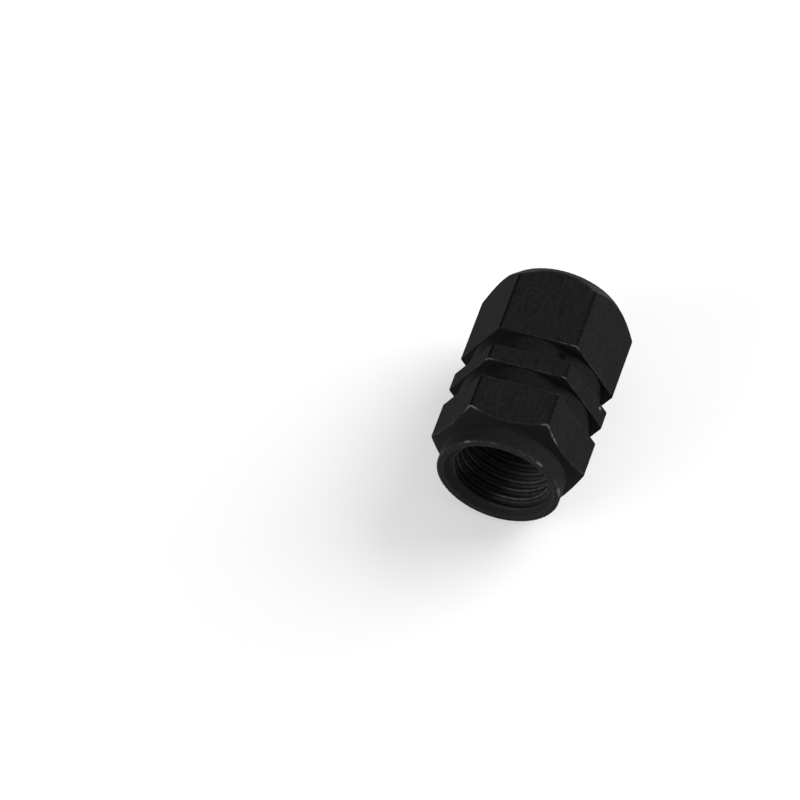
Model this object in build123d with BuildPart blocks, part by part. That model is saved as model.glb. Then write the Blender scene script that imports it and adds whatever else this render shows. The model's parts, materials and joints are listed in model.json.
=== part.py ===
from build123d import *
from math import cos, radians, tan
import os

# A tyre valve cap turned from one length of hexagonal aluminium bar.
# It lies on one flat of the bar, with its axis along Y and its threaded mouth towards -Y.
# Sizes are millimetres and degrees. Lengths run along the axis, from the closed end to the mouth.

# Hexagonal bar
across_flats = 10.5
corner_radius = 0.38

# Lengths along the axis
head_length = 6.87
groove_width = 1.55
ring_width = 1.49
skirt_length = 3.0
collar_length = 1.67

# Depth of the two round grooves below the flats
groove_depth = 0.1

# Turned chamfer of the closed end: its width inside the flats, and its angle to the end face
end_chamfer_inset = 0.41
end_chamfer_angle = 51.0

# Turned chamfer between the lower hexagon and the collar: its angle to the mouth's face
skirt_chamfer_angle = 36.0

# Blind bore, as wide as the thread of a valve stem plus its clearance
stem_thread_diameter = 7.75
thread_clearance = 0.025
thread_length = 10.0
drill_point_angle = 118.0
mouth_countersink = 0.4

# Wall of the collar round the bore
collar_wall = 0.93

# Rounding of the turned edges, and of the corner that the tool's nose leaves at the collar
end_face_rounding = 0.15
chamfer_rounding = 0.05
shoulder_rounding = 0.04
rim_rounding = 0.08
collar_root_rounding = 0.15

# Radii that follow
flat_radius = across_flats / 2
corner_reach = (flat_radius - corner_radius) / cos(radians(30)) + corner_radius
turning_radius = corner_reach + corner_radius
groove_radius = flat_radius - groove_depth
end_face_radius = flat_radius - end_chamfer_inset
bore_radius = stem_thread_diameter / 2 + thread_clearance
collar_radius = bore_radius + collar_wall

# Places along the axis that follow
end_chamfer_slope = tan(radians(end_chamfer_angle))
skirt_chamfer_slope = tan(radians(skirt_chamfer_angle))
end_chamfer_end = (turning_radius - end_face_radius) * end_chamfer_slope
ring_start = head_length + groove_width
ring_end = ring_start + ring_width
skirt_start = ring_end + groove_width
collar_start = skirt_start + skirt_length + (corner_reach - collar_radius) * skirt_chamfer_slope
skirt_chamfer_start = collar_start - (turning_radius - collar_radius) * skirt_chamfer_slope
cap_length = collar_start + collar_length
bore_bottom = cap_length - thread_length
drill_point = bore_bottom - bore_radius / tan(radians(drill_point_angle / 2))

# Planes at the centre of the closed end. One lies across the bar. The other holds the axis and
# points down, with X as the radius and Y as the length towards the mouth.
end_centre = (0, cap_length / 2, flat_radius)
bar_plane = Plane(origin=end_centre, x_dir=(1, 0, 0), z_dir=(0, -1, 0))
turning_plane = Plane(origin=end_centre, x_dir=(0, 0, -1), z_dir=(-1, 0, 0))
cap_axis = Axis(end_centre, (0, -1, 0))

with BuildPart() as cap_body:
    # The bar, with a flat underneath and rounded corners
    with BuildSketch(bar_plane) as bar_section:
        RegularPolygon(flat_radius, 6, major_radius=False)
        fillet(bar_section.vertices(), corner_radius)
    extrude(amount=cap_length)

    # The turned outline leaves the hexagon standing between its chamfers and grooves
    with BuildSketch(turning_plane) as turned_outline:
        with BuildLine():
            Polyline(
                (0, 0),
                (end_face_radius, 0),
                (turning_radius, end_chamfer_end),
                (turning_radius, head_length),
                (groove_radius, head_length),
                (groove_radius, ring_start),
                (turning_radius, ring_start),
                (turning_radius, ring_end),
                (groove_radius, ring_end),
                (groove_radius, skirt_start),
                (turning_radius, skirt_start),
                (turning_radius, skirt_chamfer_start),
                (collar_radius, collar_start),
                (collar_radius, cap_length),
                (0, cap_length),
                close=True,
            )
        make_face()
        collar_root = turned_outline.vertices().sort_by_distance((collar_radius, collar_start))[0]
        fillet(collar_root, collar_root_rounding)
    revolve(axis=cap_axis, mode=Mode.INTERSECT)

    # The chamfers leave a hyperbola on each flat and a short curve round each corner
    chamfer_edges = cap_body.edges().filter_by(GeomType.HYPERBOLA)
    chamfer_edges += cap_body.edges().filter_by(GeomType.BSPLINE)
    fillet(chamfer_edges, chamfer_rounding)

    # The grooves leave a hexagonal edge on each of their shoulders
    shoulders = cap_body.faces().filter_by(Axis.Y).sort_by(Axis.Y)[1:-1]
    shoulder_edges = [edge for face in shoulders for edge in face.outer_wire().edges()]
    fillet(shoulder_edges, shoulder_rounding)

    # The end face and the rim of the mouth are round
    end_face = cap_body.faces().filter_by(Axis.Y).sort_by(Axis.Y)[-1]
    fillet(end_face.outer_wire().edges(), end_face_rounding)
    rim = cap_body.faces().filter_by(Axis.Y).sort_by(Axis.Y)[0]
    fillet(rim.outer_wire().edges(), rim_rounding)

    # The blind bore, with its drill point and the countersink at the mouth
    with BuildSketch(turning_plane):
        with BuildLine():
            Polyline(
                (0, drill_point),
                (bore_radius, bore_bottom),
                (bore_radius, cap_length - mouth_countersink),
                (bore_radius + mouth_countersink, cap_length),
                (0, cap_length),
                close=True,
            )
        make_face()
    revolve(axis=cap_axis, mode=Mode.SUBTRACT)

cap_body.part.label = "cap_body"

os.makedirs("parts", exist_ok=True)
export_step(cap_body.part, "parts/cap_body.step")
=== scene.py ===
import json
import math

import bpy
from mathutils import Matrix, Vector


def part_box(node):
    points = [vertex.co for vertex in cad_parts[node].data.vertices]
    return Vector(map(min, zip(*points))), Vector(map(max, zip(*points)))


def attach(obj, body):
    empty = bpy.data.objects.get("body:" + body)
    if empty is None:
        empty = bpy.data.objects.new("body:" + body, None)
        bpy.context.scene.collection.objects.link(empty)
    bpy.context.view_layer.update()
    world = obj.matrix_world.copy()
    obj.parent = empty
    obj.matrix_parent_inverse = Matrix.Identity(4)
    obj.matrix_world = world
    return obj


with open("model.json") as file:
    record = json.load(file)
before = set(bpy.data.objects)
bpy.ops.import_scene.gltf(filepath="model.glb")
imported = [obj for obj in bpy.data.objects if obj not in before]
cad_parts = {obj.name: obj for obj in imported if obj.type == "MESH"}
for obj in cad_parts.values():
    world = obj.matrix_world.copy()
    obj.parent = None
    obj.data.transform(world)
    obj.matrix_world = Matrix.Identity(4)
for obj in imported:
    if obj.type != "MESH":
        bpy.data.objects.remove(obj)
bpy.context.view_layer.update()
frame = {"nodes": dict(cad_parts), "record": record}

# Sizes are in metres, and MM writes them in millimetres
MM = 0.001

# The cap's sizes that the frame gives
cap_low, cap_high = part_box("cap_body")
flat_radius = (cap_high.z - cap_low.z) / 2
corner_reach = cap_high.x
cap_length = cap_high.y - cap_low.y
mouth_y = cap_low.y
end_y = cap_high.y
valve_thread = next(mount for mount in frame["record"]["mounts"] if mount["name"] == "valve_thread")
bore_radius = valve_thread["dims"]["r_mm"] * MM
bore_start_y = valve_thread["pos_m"][1] - valve_thread["dims"]["length_mm"] * MM / 2
countersink = bore_start_y - mouth_y

# Lengths along the axis from the closed end, and the turned chamfers, as the solid has them
head_end = 6.87 * MM
ring_start = head_end + 1.55 * MM
ring_end = ring_start + 1.49 * MM
skirt_start = ring_end + 1.55 * MM
skirt_end = skirt_start + 3.0 * MM
groove_radius = flat_radius - 0.1 * MM
collar_radius = 4.83 * MM
skirt_chamfer_slope = math.tan(math.radians(36))
collar_start = skirt_end + (corner_reach - collar_radius) * skirt_chamfer_slope
end_face_radius = flat_radius - 0.41 * MM
end_chamfer_slope = math.tan(math.radians(51))
mouth_radius = bore_radius + countersink

# Thread cut in the bore: a right-hand ridge, 32 turns to the inch
thread_pitch = 25.4 / 32 * MM
ridge_height = 0.32 * MM
ridge_base = 0.6 * MM
ridge_crest = 0.2 * MM
ridge_sunk = 0.03 * MM
ridge_least = 0.02 * MM
crest_rounding = 0.05 * MM
crest_line = 0.08 * MM
foot_line = 0.22 * MM
thread_turns = 10
runin_turns = 0.6
runout_turns = 0.8
steps_a_turn = 96

# Black anodised finish: grey levels of the dye, of painted shade in the grooves and on the thread's
# flanks, of painted light deep in the bore, and of the metal where it is rubbed, which also stands in
# for painted highlights
drawn_dark = 0.007
drawn_light = 0.0135
turned_dark = 0.0085
turned_light = 0.0135
# Painted shade: the grooves' grey, darker than the turned faces where the shoulders shade them
groove_shade_dark = 0.006
groove_shade_light = 0.0105
bore_dark = 0.02
bore_light = 0.027
# Painted light: the bore's grey deep inside, made lighter to stand in for light that does not reach it
painted_deep_dark = 0.11
painted_deep_light = 0.14
# Painted shade: the grey of the thread's flanks
flank_shade_black = 0.002
speck_grey = 0.028
rubbed_and_highlight_grey = 0.13
shade_and_corner_black = 0.002
satin_roughness = 0.62
thread_roughness = 0.5
rubbed_roughness = 0.4
satin_ior = 1.07

# Sizes of the finish's grain, and the depth of its relief
line_cell = 0.06 * MM
ring_cell = 0.07 * MM
speck_cell = 0.12 * MM
fleck_cell = 0.14 * MM
mottle_cell = 0.2 * MM
patch_cell = 1.4 * MM
thread_fleck_cell = 0.3 * MM
thread_patch_cell = 4.5 * MM
relief_depth = 0.004 * MM

# How far wear and painted edge highlights reach from an edge, and how far rubbing and painted highlight
# go on the faces that are rubbed all over
edge_reach = 0.11 * MM
shoulder_reach = 0.1 * MM
round_reach = 0.15 * MM
face_rub_and_highlight = 0.05

# Depths below the mouth between which the bore is painted lighter, standing in for light, the thread's
# flanks are painted darker as shade and its rubbed lines fade
bore_painted_light_depths = (0.3 * MM, 5 * MM)
flank_shade_depths = (0.4 * MM, 1.4 * MM)
thread_lines_fade = (2 * MM, 5 * MM)

# Knocks on the corners and the rim, the one at 8 degrees on the rim's edge a painted highlight: degrees
# round the axis from +X, length from the closed end, and size
knocks_and_glint = (
    (60, head_end, 0.6 * MM),
    (120, ring_end, 0.55 * MM),
    (60, ring_end, 0.3 * MM),
    (120, skirt_end, 0.8 * MM),
    (60, skirt_end, 0.55 * MM),
    (50, skirt_end + 0.3 * MM, 0.8 * MM),
    (60, skirt_start, 0.25 * MM),
    # A painted highlight on the rim's edge, kept in this list of knocks
    (8, cap_length, 0.6 * MM),
    (49, cap_length, 0.4 * MM),
    (121, cap_length, 0.4 * MM),
)

# A bright chip in the ring, and a spot of painted shade in the first groove, given in the same way
chips = ((9, ring_start + 0.4 * MM, 0.22 * MM),)
shade_spots = ((65, head_end + 0.75 * MM, 0.45 * MM),)

# The photograph's view of the cap
photo_pixels = 800
view_azimuth = 17.44
view_elevation = 54.13
view_distance = 449.8 * MM
view_aim = Vector((-10.41 * MM, 0.17 * MM, 0))
focal_pixels = 5852

# The pale floor, and the share of it that glows where it is seen
floor_grey = 0.95
floor_glow = 0.45


def start_fresh():
    """Leaves nothing selected, so that an operator acts on the new piece alone."""
    bpy.ops.object.select_all(action="DESELECT")


def outside_radius(angle, length):
    """How far the cap's outside lies from its axis, in degrees round it and at a length along it."""
    if length > collar_start:
        return collar_radius
    if head_end < length < ring_start or ring_end < length < skirt_start:
        return groove_radius
    return flat_radius / math.cos(math.radians(angle % 60 - 30))


def looking_from(azimuth, elevation):
    """The direction from the cap to a lamp or camera, in degrees from the mouth's side."""
    turn = math.radians(azimuth)
    lift = math.radians(elevation)
    return Vector(
        (math.sin(turn) * math.cos(lift), -math.cos(turn) * math.cos(lift), math.sin(lift))
    )


class Shade:
    """A node socket that sums can be written on. Each sum adds its Math nodes to the tree."""

    def __init__(self, tree, socket=None):
        self.tree = tree
        self.socket = socket

    def node(self, kind, inputs=None, output=0, stops=(), **settings):
        """Adds any other node: its settings first, then the values or links of its sockets."""
        made = self.tree.nodes.new(kind)
        for name, value in settings.items():
            setattr(made, name, value)
        for count, (place, grey) in enumerate(stops):
            ramp = made.color_ramp.elements
            element = ramp[count] if count < len(ramp) else ramp.new(place)
            element.position = place
            element.color = (grey, grey, grey, 1)
        for name, value in (inputs or {}).items():
            if isinstance(value, Shade):
                self.tree.links.new(value.socket, made.inputs[name])
            else:
                made.inputs[name].default_value = value
        return Shade(self.tree, made.outputs[output] if made.outputs else None)

    def math(self, operation, *others):
        return self.node("ShaderNodeMath", dict(enumerate((self, *others))), operation=operation)

    def __add__(self, other):
        return self.math("ADD", other)

    def __sub__(self, other):
        return self.math("SUBTRACT", other)

    def __rsub__(self, other):
        return (self * -1).math("ADD", other)

    def __mul__(self, other):
        return self.math("MULTIPLY", other)

    def __abs__(self):
        return self.math("ABSOLUTE")

    __radd__ = __add__
    __rmul__ = __mul__

    def rise(self, low, high):
        """Goes smoothly from 0 at the low value to 1 at the high one."""
        inputs = {"Value": self, "From Min": low, "From Max": high}
        return self.node("ShaderNodeMapRange", inputs, interpolation_type="SMOOTHSTEP")

    def near(self, value, reach):
        """Is 1 close to a value and falls to 0 at its reach."""
        return 1 - abs(self - value).rise(reach / 3, reach)

    def far(self, other):
        """The length of a step that has these two values as its sides."""
        return (self * self + other * other).math("SQRT")


def blend(factor, first, second):
    """Mixes two colours. A plain grey is given as a number."""
    sockets = {0: factor}
    for place, colour in ((6, first), (7, second)):
        sockets[place] = colour if isinstance(colour, Shade) else (colour, colour, colour, 1)
    return factor.node("ShaderNodeMix", sockets, output=2, data_type="RGBA")


def grain(vector, size, detail=2):
    """Noise with cells of one size."""
    inputs = {"Vector": vector, "Scale": 1 / size, "Detail": detail, "Roughness": 0.55}
    return vector.node("ShaderNodeTexNoise", inputs)


def new_material(name):
    material = bpy.data.materials.new(name)
    material.use_nodes = True
    material.node_tree.nodes.clear()
    return material


class CapPlaces:
    """Where a point lies on the cap, read from Object coordinates."""

    def __init__(self, tree):
        self.point = tree.node("ShaderNodeTexCoord", output="Object")
        x, y, z = (
            tree.node("ShaderNodeSeparateXYZ", {"Vector": self.point}, output=axis) for axis in "XYZ"
        )
        height = z - flat_radius
        self.radius = x.far(height)
        self.length = end_y - y
        self.depth = y - mouth_y
        slanted = abs(x) * math.cos(math.radians(30)) + abs(height) * math.sin(math.radians(30))
        self.across = slanted.math("MAXIMUM", abs(height))

    def end_gap(self):
        """How far a point lies from the closed end's chamfer, along the axis."""
        return self.length - (self.radius - end_face_radius) * end_chamfer_slope

    def draw_lines(self):
        """Fine lines that the drawing die leaves along the bar."""
        stretch = (1, 0.02, 1)
        inputs = {0: self.point, 1: stretch}
        along = self.point.node("ShaderNodeVectorMath", inputs, operation="MULTIPLY")
        return grain(along, line_cell, detail=3)

    def turned_rings(self):
        """Fine rings that the turning tool leaves round the axis."""
        wander = grain(self.point, 2.5 * MM) * (0.1 * MM)
        inputs = {"X": self.radius + wander, "Y": self.length + wander}
        rings = self.point.node("ShaderNodeCombineXYZ", inputs)
        return grain(rings, ring_cell, detail=3)

    def spots(self, marks):
        """Round marks at a list of places on the cap's outside."""
        most = None
        for angle, length, size in marks:
            turn = math.radians(angle)
            radius = outside_radius(angle, length)
            centre = (
                radius * math.cos(turn),
                end_y - length,
                flat_radius + radius * math.sin(turn),
            )
            inputs = {0: self.point, 1: centre}
            away = self.point.node(
                "ShaderNodeVectorMath", inputs, output="Value", operation="DISTANCE"
            )
            spot = 1 - away.rise(0.3 * size, size)
            most = spot if most is None else most.math("MAXIMUM", spot)
        return most

    def bore_dye_and_painted_light(self, share):
        """The dye in the bore, painted lighter the further it lies from the mouth, standing in for light
        that the deep bore lacks.
        """
        at_mouth = blend(share, bore_dark, bore_light)
        deep = blend(share, painted_deep_dark, painted_deep_light)
        return blend(self.depth.rise(*bore_painted_light_depths), at_mouth, deep)


def anodised_surface(tree, colour, roughness, height):
    """The shader that both finishes end in. The height counts in depths of the relief."""
    bump = tree.node("ShaderNodeBump", {"Height": height, "Strength": 1, "Distance": relief_depth})
    surface = tree.node(
        "ShaderNodeBsdfPrincipled",
        {"Base Color": colour, "Roughness": roughness, "IOR": satin_ior, "Normal": bump},
    )
    tree.node("ShaderNodeOutputMaterial", {"Surface": surface})


def edge_wear_and_highlights(places):
    """Is 1 along the cap's outer edges, where the dye rubs off first; the lighter colour there also
    stands in for painted edge highlights.
    """
    on_hexagon = places.across.rise(flat_radius - 0.1 * MM, flat_radius - 0.04 * MM)
    skirt_gap = collar_start - (places.radius - collar_radius) * skirt_chamfer_slope - places.length
    edges = skirt_gap.near(0, edge_reach).math("MAXIMUM", places.end_gap().near(0, edge_reach))
    for shoulder, wear in ((head_end, 1), (ring_start, 0.4), (ring_end, 1), (skirt_start, 0.4)):
        edges = edges.math("MAXIMUM", places.length.near(shoulder, shoulder_reach) * wear)
    edges = edges * on_hexagon

    rounds = (
        (collar_radius - 0.03 * MM, cap_length - 0.03 * MM, 1.1),
        (mouth_radius, cap_length, 0.4),
        (end_face_radius, 0, 1),
    )
    for edge_radius, edge_length, wear in rounds:
        away = (places.radius - edge_radius).far(places.length - edge_length)
        edges = edges.math("MAXIMUM", away.near(0, round_reach) * wear)
    return edges


def cap_finish():
    """Black anodised aluminium, drawn along the flats, turned elsewhere and rubbed on the edges, with
    painted shade in the grooves, painted light deep in the bore and painted highlights on the edges.
    """
    material = new_material("black_anodised_aluminium")
    tree = Shade(material.node_tree)
    places = CapPlaces(tree)
    lines = places.draw_lines()
    rings = places.turned_rings()
    drawn = places.across.rise(flat_radius - 0.085 * MM, flat_radius - 0.06 * MM)
    inside = places.length.rise(2 * MM, 3 * MM)
    inside = inside * (1 - places.radius.rise(bore_radius + 0.02 * MM, bore_radius + 0.06 * MM))
    first_groove = places.length.near((head_end + ring_start) / 2, 1.1 * MM)
    second_groove = places.length.near((ring_end + skirt_start) / 2, 1.1 * MM)

    # The dye takes a little unevenly; the grooves are darker as painted shade, and the bore is painted
    # lighter inside, standing in for light
    mottle = grain(places.point, mottle_cell, detail=3)
    rings_share = ((rings + mottle) * 0.5).rise(0.38, 0.62)
    lines_tone = blend(((lines + mottle) * 0.5).rise(0.38, 0.62), drawn_dark, drawn_light)
    rings_and_groove_shade_tone = blend(
        first_groove + second_groove,
        blend(rings_share, turned_dark, turned_light),
        blend(rings_share, groove_shade_dark, groove_shade_light),
    )
    dye = blend(inside, blend(drawn, rings_and_groove_shade_tone, lines_tone), places.bore_dye_and_painted_light(rings_share))
    specks = grain(places.point, speck_cell).rise(0.64, 0.74)
    dye = blend(specks * 0.6, dye, speck_grey)

    # It is darker along the bar's corners, in short dashes, and in a spot of painted shade in the first
    # groove
    flecks = grain(places.point, fleck_cell, detail=3).rise(0.35, 0.6)
    corners = places.radius.rise(corner_reach - 0.035 * MM, corner_reach - 0.01 * MM)
    shade_and_dark_corners = places.spots(shade_spots).math("MAXIMUM", corners * (flecks * 0.7 + 0.3))
    dye = blend(shade_and_dark_corners, dye, shade_and_corner_black)

    # It is rubbed a little on the mouth's face and the end chamfer, and more along the edges; the
    # lighter colour there also stands in for painted highlights and reflections, and the knock at 8
    # degrees on the rim is a painted highlight
    face = places.length.rise(cap_length - 0.45 * MM, cap_length - 0.4 * MM) * (1 - inside)
    face = face * (1 - places.radius.rise(collar_radius - 0.12 * MM, collar_radius - 0.06 * MM))
    patches = grain(places.point, patch_cell, detail=3).rise(0.42, 0.62)
    face = face.math("MAXIMUM", places.end_gap().near(0, 0.1 * MM) * (patches + 0.4))
    knocked_and_glint = places.spots(knocks_and_glint)
    share = (patches * 0.2 + 0.08) * flecks + knocked_and_glint * (flecks * 0.55 + 0.25)
    chipped = (places.spots(chips) - flecks * 0.7).rise(0.1, 0.4)
    rubbed = (edge_wear_and_highlights(places) * share + face * face_rub_and_highlight + chipped).math("MINIMUM", 1)
    colour = blend(rubbed, dye, rubbed_and_highlight_grey)

    relief = blend(drawn, rings, lines)
    uneven = (lines - 0.5) * 0.12 + satin_roughness
    roughness = uneven + rubbed * (rubbed_roughness - satin_roughness)
    anodised_surface(tree, colour, roughness, relief)
    return material


def thread_finish():
    """The same finish on the cut thread, its flanks painted darker as shade and its bore painted lighter
    deep inside, with rubbed lines near the mouth that also stand in for painted highlights.
    """
    material = new_material("black_anodised_thread")
    tree = Shade(material.node_tree)
    places = CapPlaces(tree)
    rings = places.turned_rings()
    flanks = places.radius.near(bore_radius - ridge_height / 2, ridge_height / 2)
    inner = places.depth.rise(*flank_shade_depths) * 0.65 + 0.35
    # The thread's flanks are painted darker as shade, more so past the first turn, and the bore is
    # painted lighter deep inside
    dye = blend((flanks * 0.2 + 0.7) * inner, places.bore_dye_and_painted_light(rings.rise(0.3, 0.7)), flank_shade_black)
    lines = tree.node("ShaderNodeAttribute", output="Fac", attribute_name="rubbed_lines")
    flecks = grain(places.point, thread_fleck_cell, detail=3).rise(0.3, 0.6)
    shallow = 1 - places.depth.rise(*thread_lines_fade)
    patches = grain(places.point, thread_patch_cell).rise(0.4, 0.6)
    # The rubbed lines also stand in for painted highlights on the thread
    rubbed = lines * patches * shallow * (flecks * 0.3 + 0.2)
    colour = blend(rubbed, dye, rubbed_and_highlight_grey)
    roughness = (rings - 0.5) * 0.1 + thread_roughness
    anodised_surface(tree, colour, roughness, rings)
    return material


def pick_vertices(piece, wanted):
    """Selects the vertices of a piece that is in edit mode by their place."""
    bpy.ops.mesh.select_mode(type="VERT")
    bpy.ops.mesh.select_all(action="DESELECT")
    bpy.ops.object.mode_set(mode="OBJECT")
    for vertex in piece.data.vertices:
        vertex.select = wanted(vertex.co)
    bpy.ops.object.mode_set(mode="EDIT")


def model_thread(finish):
    """The ridge of the thread: its section on the bore's wall, screwed along the axis."""
    base_radius = bore_radius + ridge_sunk
    crest_radius = bore_radius - ridge_height
    middle_radius = (base_radius + crest_radius) / 2

    # The section is a trapezoid with a rounded crest
    start_fresh()
    bpy.ops.mesh.primitive_plane_add(size=1)
    thread = bpy.context.object
    thread.name = "bore_thread"
    bpy.ops.object.mode_set(mode="EDIT")
    bpy.ops.mesh.select_all(action="SELECT")
    bpy.ops.transform.resize(value=(base_radius - crest_radius, ridge_base, 1))
    bpy.ops.transform.translate(value=(middle_radius, 0, 0))
    pick_vertices(thread, lambda place: place.x < middle_radius)
    bpy.ops.transform.resize(value=(1, ridge_crest / ridge_base, 1))
    bpy.ops.mesh.bevel(offset=crest_rounding, segments=2, affect="VERTICES")
    bpy.ops.mesh.select_all(action="SELECT")
    bpy.ops.mesh.delete(type="ONLY_FACE")
    bpy.ops.mesh.select_all(action="SELECT")
    bpy.ops.mesh.subdivide(number_cuts=2)
    bpy.ops.object.mode_set(mode="OBJECT")
    section = [vertex.co.copy() for vertex in thread.data.vertices]

    screw = thread.modifiers.new("screw", "SCREW")
    screw.axis = "Y"
    screw.angle = math.tau
    screw.screw_offset = thread_pitch
    screw.iterations = thread_turns
    screw.steps = steps_a_turn
    screw.render_steps = steps_a_turn
    screw.use_merge_vertices = False
    bpy.ops.object.modifier_apply(modifier=screw.name)

    # It rises out of the wall where the countersink ends, and fades into it again inside.
    # It keeps a least height there, hidden in the wall, so that its mesh stays closed.
    # Its foot and the edge of its crest that face the mouth are marked as rubbed lines, which also stand
    # in for painted highlights.
    rubbed_lines = thread.data.attributes.new("rubbed_lines", "FLOAT", "POINT")
    last_step = thread_turns * steps_a_turn
    for index, vertex in enumerate(thread.data.vertices):
        step, corner = divmod(index, len(section))
        rising = step / (runin_turns * steps_a_turn)
        falling = (last_step - step) / (runout_turns * steps_a_turn)
        fade = min(1, rising, falling)
        radius = math.hypot(vertex.co.x, vertex.co.z)
        vertex.co.y += bore_start_y
        share = (base_radius - radius) / (base_radius - crest_radius)
        rise = max(fade * (base_radius - crest_radius), ridge_least) * share
        cone_radius = base_radius + bore_start_y - vertex.co.y
        cut_radius = max(base_radius - rise, cone_radius - ridge_least * share)
        vertex.co.x *= cut_radius / radius
        vertex.co.z *= cut_radius / radius
        vertex.co.z += flat_radius
        across, along = section[corner].x, section[corner].y
        from_crest = math.hypot(across - crest_radius, along + ridge_crest / 2)
        from_foot = math.hypot(across - base_radius, along + ridge_base / 2)
        on_crest = 1 if from_crest < crest_line else 0
        on_foot = max(0, 1 - from_foot / foot_line)
        rubbed_lines.data[index].value = fade * max(on_crest, on_foot)

    bpy.ops.object.mode_set(mode="EDIT")
    bpy.ops.mesh.select_all(action="DESELECT")
    bpy.ops.mesh.select_non_manifold(extend=False)
    bpy.ops.mesh.fill()
    bpy.ops.mesh.select_all(action="SELECT")
    bpy.ops.mesh.normals_make_consistent(inside=False)
    bpy.ops.object.mode_set(mode="OBJECT")
    bpy.ops.object.shade_smooth_by_angle(angle=math.radians(35))
    thread.data.materials.append(finish)
    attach(thread, "root")


def lay_floor():
    start_fresh()
    bpy.ops.mesh.primitive_plane_add(size=6, location=(0, 0, -0.01 * MM))
    floor = bpy.context.object
    floor.name = "floor"
    material = new_material("pale_floor")
    tree = Shade(material.node_tree)
    paper = tree.node(
        "ShaderNodeBsdfPrincipled",
        {
            "Base Color": (floor_grey, floor_grey, floor_grey, 1),
            "Roughness": 0.9,
            "Specular IOR Level": 0.0,
        },
    )

    # It glows a little where it is seen, which softens the shadow
    glow = tree.node("ShaderNodeEmission", {"Strength": 1.0})
    camera, glossy, transmission = (
        tree.node("ShaderNodeLightPath", output="Is " + kind + " Ray")
        for kind in ("Camera", "Glossy", "Transmission")
    )
    seen = (camera + glossy + transmission).math("MINIMUM", 1)
    surface = tree.node("ShaderNodeMixShader", {0: seen * floor_glow, 1: paper, 2: glow})
    tree.node("ShaderNodeOutputMaterial", {"Surface": surface})
    floor.data.materials.append(material)


def hang_softbox(name, azimuth, elevation, distance, size, radiance):
    """A square softbox that faces the cap. Its radiance is the brightness of its own face."""
    away = looking_from(azimuth, elevation)
    lamp = bpy.data.lights.new(name, "AREA")
    lamp.shape = "SQUARE"
    lamp.size = size
    lamp.energy = radiance * math.pi * size * size
    holder = bpy.data.objects.new(name, lamp)
    holder.location = away * distance
    holder.rotation_euler = away.to_track_quat("Z", "Y").to_euler()
    bpy.context.scene.collection.objects.link(holder)


def set_world():
    """A dim room under a pale ceiling."""
    world = bpy.data.worlds.new("studio")
    world.use_nodes = True
    world.node_tree.nodes.clear()
    tree = Shade(world.node_tree)
    direction = tree.node("ShaderNodeTexCoord", output="Generated")
    height = tree.node("ShaderNodeSeparateXYZ", {"Vector": direction}, output="Z")
    horizon_to_ceiling = ((0.0, 0.12), (0.3, 0.2), (0.7, 0.45))
    sky = tree.node("ShaderNodeValToRGB", {"Fac": height}, stops=horizon_to_ceiling)
    light = tree.node("ShaderNodeBackground", {"Color": sky, "Strength": 1.0})
    tree.node("ShaderNodeOutputWorld", {"Surface": light})
    bpy.context.scene.world = world


def aim_camera():
    away = looking_from(view_azimuth, view_elevation)
    lens = bpy.data.cameras.new("photo_camera")
    lens.sensor_width = 36
    lens.lens = lens.sensor_width * focal_pixels / photo_pixels
    camera = bpy.data.objects.new("photo_camera", lens)
    camera.location = view_aim + away * view_distance
    camera.rotation_euler = away.to_track_quat("Z", "Y").to_euler()
    bpy.context.scene.collection.objects.link(camera)
    bpy.context.scene.camera = camera


cap_material = cap_finish()
for slot in frame["nodes"]["cap_body"].material_slots:
    slot.material = cap_material
model_thread(thread_finish())
lay_floor()
hang_softbox("key_softbox", azimuth=135, elevation=30, distance=0.7, size=0.6, radiance=6.5)
hang_softbox("front_softbox", azimuth=-44, elevation=20, distance=0.8, size=0.45, radiance=5.2)
set_world()
aim_camera()
bpy.context.scene.view_settings.view_transform = "Standard"
